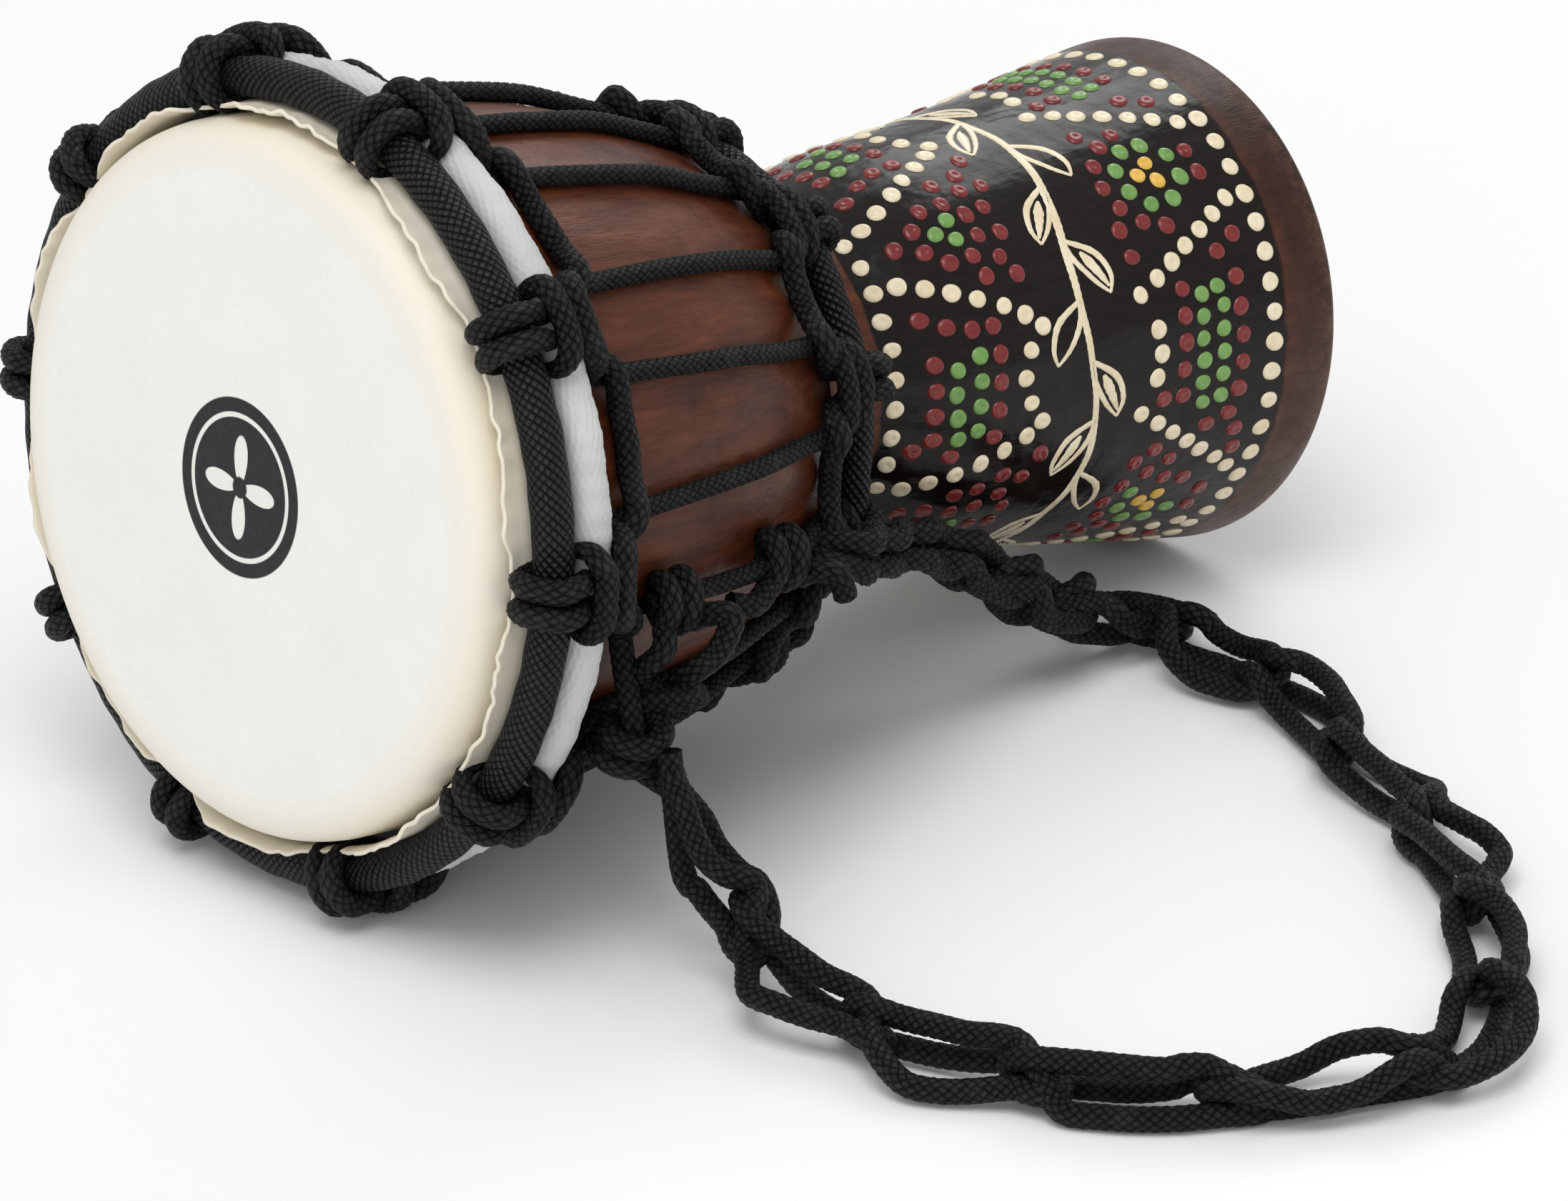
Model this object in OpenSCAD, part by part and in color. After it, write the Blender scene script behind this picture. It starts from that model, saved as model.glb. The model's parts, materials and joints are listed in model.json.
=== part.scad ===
// Small rope-tuned goblet drum lying on its side, with its carrying strap laid on the floor.
// Millimetres, +Z up. Inside the drum pose, u runs along the drum's axis from the playing
// face (u = 0) to the foot, and an angle of 0 points up.

/* [Shell] */
// Height of the drum, from the playing face to the foot rim
drum_h = 202; // [202:0.5:204]
// Radius of the wooden bowl under the skin
bowl_r = 56.2; // [56:0.1:56.2]
// Outer radius of the foot rim
foot_r = 43.9; // [43.5:0.1:44.5]
// Inner radius of the foot rim
foot_in_r = 38.3; // [36:0.1:39]

/* [Head] */
// Thickness of the skin
skin_t = 0.8; // [0.6:0.1:0.8]
// Ring radius of the flesh ring inside the fold of the skin
flesh_r = 61.9; // [61.8:0.1:62]
// Rod diameter of the flesh ring
flesh_d = 5.2; // [4.8:0.1:5.2]
// Distance of the flesh ring from the playing face
flesh_u = 17.9; // [17.9:0.1:18.2]

/* [Rings] */
// Ring radius of the crown ring
crown_r = 62.9; // [62.8:0.1:63]
// Distance of the crown ring from the playing face
crown_u = 9.9; // [9.8:0.1:10]
// Rod diameter of the crown ring
crown_d = 4.8; // [4:0.1:4.8]
// Diameter of the crown ring over its tape
crown_tape_d = 6.6; // [6.4:0.1:6.6]
// Ring radius of the bottom ring
bottom_r = 40.5; // [40.4:0.1:40.8]
// Distance of the bottom ring from the playing face
bottom_u = 93.5; // [93.5:0.1:94]
// Rod diameter of the bottom ring
bottom_d = 4; // [3:0.1:4]
// Diameter of the bottom ring over its tape
bottom_tape_d = 5.6; // [5.4:0.1:5.6]
// Gap between a ring's rod and its tape
tape_gap = 0.1; // [0.05:0.05:0.2]

/* [Rope] */
// Hitches on each ring
hitches = 10; // [10:1:10]
// Diameter of the slack rope in the knots
rope_d = 3.8; // [3.4:0.1:3.8]
// Diameter of the lacing rope where it is pulled tight
taut_d = 3.2; // [3:0.1:3.3]
// Angle from the top of the drum to its nearest upper hitch
first_hitch = 18; // [18:1:18]

/* [Strap] */
// Diameter of the chained strap over its loops
strap_d = 11; // [9:0.5:11]

/* [Placement] */
// Distance of the head centre from the middle of the drum
head_x = -99.6; // [-110:0.1:-80]
// Smallest radius the drum rests on at its upper hitches
rest_r = 67.88; // [66:0.05:72]
// Distance of that rest from the playing face
rest_u = 15.5; // [12:0.1:20]

/* [Hidden] */

round_fn = 96;
tilt = atan((rest_r - foot_r) / (drum_h - rest_u));
head_z = foot_r * cos(tilt) + drum_h * sin(tilt);
pitch = 360 / hitches;

// Outside of the shell, [radius, u], from the bearing edge to the foot rim.
outer_edge = [[53.2, 1.6], [54.8, 2.3], [55.8, 4], [bowl_r, 7]];
outer_bowl = [[bowl_r, 20], [54.8, 40], [51.7, 60], [47, 75], [43, 85], [39.8, 89]];
outer_neck = [[35.5, 92], [30.2, 97], [27.6, 103], [27.2, 108], [28.6, 113], [31.3, 120]];
outer_foot = [[34.2, 130], [36.5, 150], [39.2, 170], [41.5, 185], [foot_r - 0.5, 197],
              [foot_r, drum_h]];
outer = concat(outer_edge, outer_bowl, outer_neck, outer_foot);
// Inside of the shell, from the foot rim back to the bearing edge.
inner = [[foot_in_r, drum_h], [36.4, 190], [33, 170], [28.5, 145], [23, 125], [18.6, 112],
         [18, 106], [19.5, 100], [24, 93], [31, 85], [38, 75], [44, 60], [47.8, 40],
         [49.5, 20], [50.5, 6], [51.4, 3]];
// Middle line of the skin: flat head, shoulder, skirt, round the flesh ring and up again.
skin_face = [[0, 0.4], [50, 0.4], [53, 0.6], [55.2, 1.6], [56.4, 3.4], [56.9, 6], [57, 13]];
skin_turn = [[57.4, 17.5], [58.5, 20]];
wrap_angles = [115 : -20 : -125];
skin_lip = [[59.3, 13.2], [58.9, 9], [58.8, 6], [59.2, 4.6]];

// A hitch: points [along the ring, outwards, away from the outer side, rope radius].
// The first half, from the middle of the cradle strand to the middle of the bridge.
top_half = [[-19.76, -5.3, 20.5, 1.9], [-14, -5.1, 20.5, 1.9], [-9.8, -2.4, 18.9, 1.9],
            [-7.6, -1.6, 17.8, 1.9], [-5.4, -2.4, 16, 1.7], [-3.6, -2, 14, 1.4],
            [-2.4, 1, 12.6, 1], [-2.1, 3, 10, 0.95], [-2, 2.9, 7, 1.1],
            [-2, 1.9, 4.3, 1.3], [-2, 3.7, 2.7, 1.35], [-2, 4.7, 0.8, 1.7],
            [-2, 4.9, -2.2, 1.9], [-2, 2.6, -4.7, 1.9], [-2.1, -0.6, -5.3, 1.9],
            [-2.6, -3.7, -3.6, 1.3], [-3.6, -4.3, -0.8, 0.9], [-4.8, -3.7, 2.2, 0.75],
            [-5.8, -0.6, 4, 0.6], [-6.3, 2.6, 4.8, 1.3], [-5, 4.9, 5.3, 1.9],
            [-2.6, 5.6, 5.6, 1.9]];
top_middle = [[0, 5.8, 5.6, 1.9]];
bottom_half = [[-12.72, 6.1, 11.5, 1.8], [-8.8, 7.6, 12.5, 1.8], [-6.4, 9.6, 12.6, 1.8],
               [-4.2, 7.6, 11.6, 1.7], [-2.8, 5, 9.8, 1.2], [-2.2, 3.6, 7.6, 1],
               [-2, 3.6, 5.6, 1], [-1.9, 4, 3, 1.1], [-1.9, 3.9, 1, 1.2],
               [-1.9, 4.2, -1.4, 1.6], [-1.9, 3, -3.7, 1.8], [-1.95, 0, -4.7, 1.8],
               [-2.2, -3.2, -3.5, 1.8], [-3, -4.2, -1.6, 1.4], [-4.2, -3.6, 1.2, 0.65],
               [-5.2, -1.6, 3.2, 0.55], [-5.7, 1.2, 4.4, 1], [-5.4, 3.9, 4.6, 1.6],
               [-3.8, 5.9, 4.6, 1.8], [-2, 6.7, 4.4, 1.8]];
bottom_middle = [[0, 7, 4.4, 1.8]];
// The lacing's bights over the hitches, first half.
top_bight = [[-8.1, -5.6, 21, 1.6], [-7.4, -4, 15, 1.6], [-6.6, 0.5, 13.2, 1.7],
             [-5.2, 3.8, 11.2, 1.75], [-2.6, 5.05, 9.9, 1.75]];
top_bight_middle = [[0, 5.2, 9.8, 1.75]];
bottom_bight = [[-6.4, 5.6, 11, 1.6], [-6, 5.9, 9.2, 1.6], [-4.6, 6.8, 8.2, 1.6],
                [-2.4, 7.2, 7.9, 1.6]];
bottom_bight_middle = [[0, 7.4, 7.8, 1.6]];
// Where the tight lacing is guided along the bowl, and its angle each side of a hitch.
lace_u = [33, 45, 60, 72];
lace_top_a = 7.4;
lace_bottom_a = 9;
// Upper hitch beside which the lacing is tied off.
tie_hitch = 2;
// Start of the next hitch, where the strap's knot pulls the upper rope outwards.
pulled_start = [[-13.2, 3.4, 20.3, 1.9], [-11.3, 0.3, 20.3, 1.9]];
// How far the knots lift the runs of lacing they are tied round.
head_lift = [2, 2, 0, 0];
foot_lift = [0, 0, 2, 2];

// Route of the strap, [x from the head centre, y, z] on the floor, from bottom ring to top.
strap_route = [[76, -52, 51], [84, -50, 47], [97, -43, 42], [112, -38, 35], [125, -38, 26],
               [137, -37, 18], [149, -36, 11], [161, -38, 7], [160, -49, 5.6],
               [160, -60, 5.6], [158, -74, 5.6], [152, -88, 5.6], [145, -103, 5.6],
               [140, -117, 5.6], [132, -131, 5.6], [124, -145, 5.6], [115, -158, 5.6],
               [102, -169, 5.6], [90, -177, 5.6], [78, -178, 5.6], [68, -173, 5.6],
               [59, -167, 5.6], [50, -160, 5.6], [43, -150, 5.6], [37, -139, 5.6],
               [33, -127, 5.6], [30, -114, 5.6], [29, -101, 6], [30, -88, 9],
               [32, -78, 15], [31, -71, 24], [29.2, -67.4, 32],
               [28.8, -66.4, 36.5]];

// Wraps of a knot: rise of each turn, and rope radius where a turn is squeezed on the wood.
wrap_pitch = 4.1;
squeezed_r = 0.9;

function unit(v) = v / norm(v);
function cat(a, b, c, d, f) =
    b + f * ((c - a) / 2 + f * ((2 * a - 5 * b + 4 * c - d) / 2
    + f * (3 * b - a - 3 * c + d) / 2));
// Smooth curve through points, with k steps in each span.
function smooth(p, k) =
    let (n = len(p) - 1)
    [for (i = [0 : n]) for (j = [0 : i < n ? k - 1 : 0])
        cat(p[max(i - 1, 0)], p[i], p[min(i + 1, n)], p[min(i + 2, n)], j / k)];
function flip(p) = [for (i = [len(p) - 1 : -1 : 0]) [-p[i][0], p[i][1], p[i][2], p[i][3]]];
function both_halves(half, middle) = concat(half, middle, flip(half));
function drop_last(p) = [for (i = [0 : len(p) - 2]) p[i]];
// Point on a ring: r out from the axis, a degrees round, u along it, rope radius s.
function around(r, a, u, s) = [r * cos(a), r * sin(a), u, s];
function on_ring(p, r, a, u, side) =
    around(r + p[1], a + p[0] / r * 180 / PI, u + side * p[2], p[3]);
function ring_path(p, r, a, u, side) = [for (q = p) on_ring(q, r, a, u, side)];
function bowl_at(u) = lookup(u, [for (p = outer_bowl) [p[1], p[0]]]);

top_hitch = both_halves(top_half, top_middle);
bottom_hitch = both_halves(bottom_half, bottom_middle);
top_loop = both_halves(top_bight, top_bight_middle);
bottom_loop = both_halves(bottom_bight, bottom_bight_middle);

pulled_hitch = concat(pulled_start,
    [for (i = [len(pulled_start) : len(top_hitch) - 1]) top_hitch[i]]);
function cradle(hitch, r, first, u, side) =
    [for (i = [0 : hitches - 1])
        let (shape = side > 0 && i == tie_hitch + 1 ? pulled_hitch : hitch)
        each drop_last(ring_path(shape, r, first + i * pitch, u, side))];
// One straight run of the lacing along the bowl, from angle a to angle b.
function lace_run(a, b, up = [0, 0, 0, 0]) =
    [for (i = [0 : len(lace_u) - 1])
        let (f = i / (len(lace_u) - 1))
        around(bowl_at(lace_u[i]) + taut_d / 2 + 0.2 + up[i], a + (b - a) * f, lace_u[i],
            taut_d / 2)];
function backwards(p) = [for (i = [len(p) - 1 : -1 : 0]) p[i]];
function lace_period(i) =
    let (a = first_hitch + i * pitch, b = a + pitch / 2, c = a + pitch)
    concat(lace_run(a + lace_top_a, b - lace_bottom_a,
            i == tie_hitch ? head_lift + foot_lift : [0, 0, 0, 0]),
        ring_path(bottom_loop, bottom_r, b, bottom_u, -1),
        backwards(lace_run(c - lace_top_a, b + lace_bottom_a)),
        ring_path(top_loop, crown_r, c, crown_u, 1));

// Tube through [x, y, z, radius] points, closed at both ends.
module rope(path, sides) {
    n = len(path);
    p = [for (q = path) [q[0], q[1], q[2]]];
    t = [for (i = [0 : n - 1]) unit(p[min(i + 1, n - 1)] - p[max(i - 1, 0)])];
    start = abs(t[0].z) < 0.9 ? [0, 0, 1] : [1, 0, 0];
    v = [for (i = 0, w = unit(start - t[0] * (start * t[0])); i < n;
            i = i + 1, w = i < n ? unit(w - t[i] * (w * t[i])) : w) w];
    points = [for (i = [0 : n - 1]) for (j = [0 : sides - 1])
        p[i] + path[i][3] * (cos(j * 360 / sides) * v[i]
        + sin(j * 360 / sides) * cross(t[i], v[i]))];
    walls = [for (i = [0 : n - 2]) for (j = [0 : sides - 1])
        let (a = i * sides + j, b = i * sides + (j + 1) % sides)
        each [[a, a + sides, b + sides], [a, b + sides, b]]];
    near = [for (j = [1 : sides - 2]) [0, j, j + 1]];
    far = [for (j = [1 : sides - 2])
        let (k = (n - 1) * sides) [k, k + j + 1, k + j]];
    polyhedron(points, concat(walls, near, far));
}

// Wraps round a strand of radius s that lies on the bowl, [along the ring, to the foot,
// outwards, rope radius], with a tail at each end.
function wraps(s, turns, tail_in, tail_out) = concat(tail_in,
    [for (a = [60 : 30 : 60 + 360 * turns])
        let (low = max(0, -sin(a)), r = rope_d / 2 - (rope_d / 2 - squeezed_r) * low * low,
            reach = s + 0.12 + r)
        [reach * cos(a), (a - 60) / 360 * wrap_pitch, reach * sin(a), r]],
    tail_out);

module drum_pose() {
    translate([head_x, 0, head_z])
        rotate([0, 90 + tilt, 0])
        rotate(180)
        children();
}

// Frame on the bowl: +X round the drum, +Y towards the foot, +Z outwards.
module on_bowl(a, r, u) {
    rotate(a)
        translate([r, 0, u])
        multmatrix([[0, 0, 1, 0], [1, 0, 0, 0], [0, 1, 0, 0], [0, 0, 0, 1]])
        children();
}

module torus(r, d, u) {
    translate([0, 0, u])
        rotate_extrude($fn = round_fn)
        translate([r, 0])
        circle(d = d, $fn = 32);
}

module tape_ring(r, d_in, d_out, u) {
    translate([0, 0, u])
        rotate_extrude($fn = round_fn)
        translate([r, 0])
        difference() {
            circle(d = d_out, $fn = 32);
            circle(d = d_in, $fn = 32);
        }
}

module shell() {
    color("sienna") drum_pose()
        rotate_extrude($fn = round_fn)
        polygon(concat(smooth(outer, 3), smooth(inner, 2)));
}

// Middle line of the skin where it goes round the flesh ring.
function skin_wrap() =
    let (r = (flesh_d + skin_t) / 2 + tape_gap)
    [for (a = wrap_angles) [flesh_r + r * cos(a), flesh_u + r * sin(a)]];

module strip(path, t) {
    n = len(path);
    side = [for (i = [0 : n - 1])
        let (d = unit(path[min(i + 1, n - 1)] - path[max(i - 1, 0)]))
        [-d[1], d[0]] * t / 2];
    polygon(concat([for (i = [0 : n - 1]) path[i] + side[i]],
        [for (i = [n - 1 : -1 : 0]) path[i] - side[i]]));
}

module drumhead() {
    color("ivory") drum_pose() {
        difference() {
            rotate_extrude($fn = round_fn)
                strip(concat(skin_face, skin_turn, skin_wrap(), skin_lip), skin_t);
            for (i = [0 : hitches - 1])
                rotate(first_hitch + i * pitch)
                translate([57.8, -7.6, 2])
                cube([6, 15.2, 12.4]);
        }
    }
}

module flesh_ring() {
    color("silver") drum_pose() torus(flesh_r, flesh_d, flesh_u);
}

module crown_ring() {
    color("silver") drum_pose() torus(crown_r, crown_d, crown_u);
}

module crown_tape() {
    color("dimgray") drum_pose()
        tape_ring(crown_r, crown_d + 2 * tape_gap, crown_tape_d, crown_u);
}

module bottom_ring() {
    color("silver") drum_pose() torus(bottom_r, bottom_d, bottom_u);
}

module bottom_tape() {
    color("dimgray") drum_pose()
        tape_ring(bottom_r, bottom_d + 2 * tape_gap, bottom_tape_d, bottom_u);
}

module top_cradle_rope() {
    color("black") drum_pose()
        rope(cradle(top_hitch, crown_r, first_hitch, crown_u, 1), 8);
}

module bottom_cradle_rope() {
    color("black") drum_pose()
        rope(cradle(bottom_hitch, bottom_r, first_hitch - pitch / 2, bottom_u, -1), 8);
}

module lacing_rope() {
    color("gray") drum_pose()
        rope([for (i = [0 : hitches - 1]) each lace_period(i + tie_hitch)], 8);
}

module lacing_knot() {
    color("gray") drum_pose()
        on_bowl(first_hitch + tie_hitch * pitch + lace_top_a + 0.6,
            bowl_at(38) + taut_d / 2 + 0.2 + 2, 35)
        rope(wraps(taut_d / 2, 2,
            [[13, -2, 0.5, 1.7], [9.5, -2.6, 2.6, 1.8], [5, -1.6, 5.4, 1.9]],
            [[0.5, 10, 7.4, 1.9], [6.5, 8.6, 7, 1.9], [10, 5.5, 5.5, 1.9],
            [14, 3.6, 3.2, 1.8]]), 8);
}

module strap() {
    color("black") translate([head_x, 0, 0])
        rope([for (q = smooth(strap_route, 2)) [q[0], q[1], q[2], strap_d / 2]], 10);
}

module strap_foot_knot() {
    color("black") drum_pose()
        on_bowl(first_hitch + tie_hitch * pitch + pitch / 2 - lace_bottom_a - 0.6,
            bowl_at(66) + taut_d / 2 + 0.2 + 2, 62)
        rope(wraps(taut_d / 2, 2,
            [[3.4, -9.5, 4.2, 1.9], [4, -5, 5.2, 1.9]],
            [[1, 10.5, 6.6, 1.9], [5, 12.5, 7.6, 1.9]]), 8);
}

module strap_head_knot() {
    color("black") drum_pose()
        on_bowl(first_hitch + tie_hitch * pitch + pitch / 2 + 6, crown_r + 3.6, 30.4)
        rope(concat([[-9, 7.5, 3.5, 1.9], [-6.5, 6, 1.5, 1.9]],
            [for (a = [-60 : 30 : 600])
                [(a - 270) / 360 * wrap_pitch + 1.5, 4.1 * cos(a), 4.1 * sin(a), 1.9]],
            [[7.5, 5.5, 6.5, 1.9]]), 8);
}

shell();
drumhead();
flesh_ring();
crown_ring();
crown_tape();
bottom_ring();
bottom_tape();
top_cradle_rope();
bottom_cradle_rope();
lacing_rope();
lacing_knot();
strap();
strap_foot_knot();
strap_head_knot();
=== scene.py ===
"""Small rope-tuned goblet hand drum on its side, with its chained strap laid on the floor.

Lengths are millimetres until a mesh is made. Drum space is (x, y, u): x points up at angle 0,
y towards the strap's side at angle 90, and u runs from the playing face to the foot.
"""
import json
import math

import bmesh
import bpy
import numpy as np
from mathutils import Matrix, Vector


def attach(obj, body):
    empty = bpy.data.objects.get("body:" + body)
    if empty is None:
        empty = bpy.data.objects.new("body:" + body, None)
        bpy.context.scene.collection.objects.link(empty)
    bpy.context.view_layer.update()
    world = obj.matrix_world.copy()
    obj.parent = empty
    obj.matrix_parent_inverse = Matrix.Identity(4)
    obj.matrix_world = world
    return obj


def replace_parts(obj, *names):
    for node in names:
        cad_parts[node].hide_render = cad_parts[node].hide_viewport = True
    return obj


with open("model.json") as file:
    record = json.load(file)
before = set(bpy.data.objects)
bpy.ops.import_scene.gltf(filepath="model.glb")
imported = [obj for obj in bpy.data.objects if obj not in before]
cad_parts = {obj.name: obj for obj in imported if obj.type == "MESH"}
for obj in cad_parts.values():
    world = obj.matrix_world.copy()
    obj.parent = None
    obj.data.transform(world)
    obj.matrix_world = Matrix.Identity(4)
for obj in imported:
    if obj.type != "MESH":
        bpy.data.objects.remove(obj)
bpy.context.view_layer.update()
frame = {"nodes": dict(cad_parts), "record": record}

MM = 0.001

# ---- drum space
DRUM_H = 202.0
FOOT_R = 43.9
FOOT_IN_R = 38.3
HEAD_X = -99.6
RIM = frame["record"]["mounts"][0]
AXIS = np.array(RIM["axis"])
UP = np.array([-AXIS[2], 0.0, AXIS[0]])
SIDE = np.array([0.0, -1.0, 0.0])
HEAD = np.array(RIM["pos_m"]) / MM - UP * (FOOT_R + FOOT_IN_R) / 2 - AXIS * DRUM_H

# Profiles [radius, u].
OUTER_BOWL = [[56.2, 20], [54.8, 40], [51.7, 60], [47, 75], [43, 85], [39.8, 89]]
OUTER = ([[53.2, 1.6], [54.8, 2.3], [55.8, 4], [56.2, 7]] + OUTER_BOWL
         + [[35.5, 92], [30.2, 97], [27.6, 103], [27.2, 108], [28.6, 113], [31.3, 120],
            [34.2, 130], [36.5, 150], [39.2, 170], [41.5, 185], [43.4, 197], [43.6, 200.6],
            [43, 201.8]])
INNER = [[42.4, 202], [39.2, 202], [38.5, 201.4], [36.4, 190], [33, 170], [28.5, 145],
         [23, 125], [18.6, 112], [18, 106], [19.5, 100], [24, 93], [31, 85], [38, 75],
         [44, 60], [47.8, 40], [49.5, 20], [50.5, 6], [51.4, 3]]
FLESH_R, FLESH_D, FLESH_U, SKIN_T = 61.9, 5.2, 17.9, 0.8
# The skin's middle line on the playing face, and the thickness of its mesh.
FACE_U, SHEET_T = 0.4, 0.6
CROWN_R, CROWN_U, CROWN_D = 62.9, 9.9, 6.6
BOTTOM_R, BOTTOM_U, BOTTOM_D = 40.5, 93.5, 5.6
HITCHES, PITCH, FIRST, TIE = 10, 36.0, 18.0, 2
ROPE_R = 1.95
TAUT_R = 1.6

# A hitch, first half: [along the ring, outwards, towards the other ring, rope radius].
TOP_HALF = [[-19.76, -5.3, 20.5, 1.95], [-14, -5.1, 20.5, 1.95], [-9.8, -2.4, 18.9, 1.95],
            [-7.6, -1.6, 17.8, 1.95], [-5.4, -2.4, 16, 1.7], [-3.6, -2, 14, 1.4],
            [-2.4, 1, 12.6, 1.1], [-2.1, 3, 10, 1.1], [-2, 2.9, 7, 1.3],
            [-2, 1.9, 4.3, 1.5], [-2, 3.7, 2.7, 1.7], [-2, 4.7, 0.8, 1.85],
            [-2, 4.9, -2.2, 1.95], [-2, 2.6, -4.7, 1.95], [-2.1, -0.6, -5.3, 1.95],
            [-2.6, -3.7, -3.6, 1.4], [-3.6, -4.3, -0.8, 1.1], [-4.8, -3.7, 2.2, 1.0],
            [-5.8, -0.6, 4, 1.1], [-6.3, 2.6, 4.8, 1.6], [-5, 4.9, 5.3, 1.95],
            [-2.6, 5.7, 5.6, 1.95]]
TOP_MIDDLE = [[0, 5.9, 5.6, 1.95]]
BOTTOM_HALF = [[-12.72, 6.1, 11.5, 1.9], [-8.8, 7.6, 12.5, 1.9], [-6.4, 9.6, 12.6, 1.9],
               [-4.2, 7.6, 11.6, 1.8], [-2.8, 5, 9.8, 1.4], [-2.2, 3.6, 7.6, 1.2],
               [-2, 3.6, 5.6, 1.2], [-1.9, 4, 3, 1.4], [-1.9, 3.9, 1, 1.6],
               [-1.9, 4.2, -1.4, 1.8], [-1.9, 3, -3.7, 1.9], [-1.95, 0, -4.7, 1.9],
               [-2.2, -3.2, -3.5, 1.85], [-3, -4.2, -1.6, 1.5], [-4.2, -3.6, 1.2, 1],
               [-5.2, -1.6, 3.2, 1], [-5.7, 1.2, 4.4, 1.3], [-5.4, 3.9, 4.6, 1.7],
               [-3.8, 5.9, 4.6, 1.9], [-2, 6.7, 4.4, 1.9]]
BOTTOM_MIDDLE = [[0, 7, 4.4, 1.9]]
# Beside hitch TIE + 1 the upper rope is pulled out by the strap's knot.
PULLED = [[-13.2, 3.4, 20.3, 1.95], [-11.3, 0.3, 20.3, 1.95]]
# The lacing's bights over the hitches, first half.
TOP_BIGHT = [[-8.1, -5.6, 21, 1.6], [-7.4, -4, 15, 1.7], [-6.6, 0.5, 13.2, 1.85],
             [-5.2, 3.8, 11.2, 1.9], [-2.6, 5.05, 9.9, 1.9]]
TOP_BIGHT_MIDDLE = [[0, 5.2, 9.8, 1.9]]
BOTTOM_BIGHT = [[-6.4, 5.6, 11, 1.7], [-6, 5.9, 9.2, 1.75], [-4.6, 6.8, 8.2, 1.8],
                [-2.4, 7.2, 7.9, 1.8]]
BOTTOM_BIGHT_MIDDLE = [[0, 7.4, 7.8, 1.8]]
LACE_U = [33, 45, 60, 72]
LACE_TOP_A, LACE_BOTTOM_A = 7.4, 9.0
# How far the knots lift the run of lacing they are tied round.
KNOT_LIFT = [2, 2, 2, 2]
WRAP_PITCH = 4.1

# The strap's route, [x from the head centre, y, z], from the bottom ring to the upper rope.
STRAP_ROUTE = [[76, -52, 51], [84, -50, 47], [97, -43, 42], [112, -38, 35], [125, -38, 26],
               [137, -37, 18], [149, -36, 11], [161, -38, 7], [160, -49, 5.6],
               [160, -60, 5.6], [158, -74, 5.6], [152, -88, 5.6], [145, -103, 5.6],
               [140, -117, 5.6], [132, -131, 5.6], [124, -145, 5.6], [115, -158, 5.6],
               [102, -169, 5.6], [90, -177, 5.6], [78, -178, 5.6], [68, -173, 5.6],
               [59, -167, 5.6], [50, -160, 5.6], [43, -150, 5.6], [37, -139, 5.6],
               [33, -127, 5.6], [30, -114, 5.6], [29, -101, 6], [30, -88, 9],
               [32, -78, 15], [31, -71, 24], [29.2, -67.4, 32], [28.8, -66.4, 36.5]]
# How long the chain's stitches are beside one another, and the plain rope at its two ends.
STITCH_GAPS = [15, 16, 17, 19, 22, 25, 29, 33, 34, 34, 33, 34, 35, 35, 34, 33, 26]
CHAIN_START, CHAIN_END = 6.0, 5.0


def to_world(points):
    """Drum-space points (x, y, u) as world millimetres."""
    p = np.asarray(points, float)
    return HEAD + p[:, :1] * UP + p[:, 1:2] * SIDE + p[:, 2:3] * AXIS


def around(r, angle, u):
    a = math.radians(angle)
    return [r * math.cos(a), r * math.sin(a), u]


def lookup(u, profile):
    return float(np.interp(u, [q[1] for q in profile], [q[0] for q in profile]))


def wave(i, k):
    """A repeatable number between -1 and 1 for item i."""
    return math.sin(12.9898 * (i + 1) + 78.233 * k) * math.cos(4.1414 * (i + 1) * (k + 2))


# ---- curves
def catmull(points, steps, closed=False):
    """Smooth curve through the rows of points, with steps in each span."""
    p = np.asarray(points, float)
    n = len(p)
    spans = n if closed else n - 1
    f = np.linspace(0, 1, steps, endpoint=False)[:, None]
    out = []
    for i in range(spans):
        if closed:
            a, b, c, d = p[(i - 1) % n], p[i], p[(i + 1) % n], p[(i + 2) % n]
        else:
            a, b, c, d = p[max(i - 1, 0)], p[i], p[i + 1], p[min(i + 2, n - 1)]
        out.append(b + f * ((c - a) / 2 + f * ((2 * a - 5 * b + 4 * c - d) / 2
                                               + f * (3 * b - a - 3 * c + d) / 2)))
    if not closed:
        out.append(p[-1:])
    return np.concatenate(out)


def spaced(path, step, closed=False):
    """Resamples a path to rings one step apart; columns past the third ride along."""
    p = np.vstack([path, path[:1]]) if closed else np.asarray(path)
    seg = np.linalg.norm(np.diff(p[:, :3], axis=0), axis=1)
    keep = np.concatenate([[True], seg > 1e-6])
    p = p[keep]
    s = np.concatenate([[0], np.cumsum(np.linalg.norm(np.diff(p[:, :3], axis=0), axis=1))])
    n = max(int(round(s[-1] / step)), 2)
    t = np.linspace(0, s[-1], n + 1)
    if closed:
        t = t[:-1]
    return np.stack([np.interp(t, s, p[:, k]) for k in range(p.shape[1])], axis=1), s[-1]


def unit(v):
    return v / np.maximum(np.linalg.norm(v, axis=-1, keepdims=True), 1e-9)


def carried_frames(p, closed):
    """Two normals at each point of a path, with no twist."""
    if closed:
        t = unit(np.roll(p, -1, axis=0) - np.roll(p, 1, axis=0))
    else:
        t = unit(np.gradient(p, axis=0))
    v = np.empty_like(p)
    start = np.array([0, 0, 1.0]) if abs(t[0, 2]) < 0.9 else np.array([1.0, 0, 0])
    w = start - t[0] * (start @ t[0])
    for i in range(len(p)):
        w = w - t[i] * (w @ t[i])
        w = w / np.linalg.norm(w)
        v[i] = w
    return v, np.cross(t, v)


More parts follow.
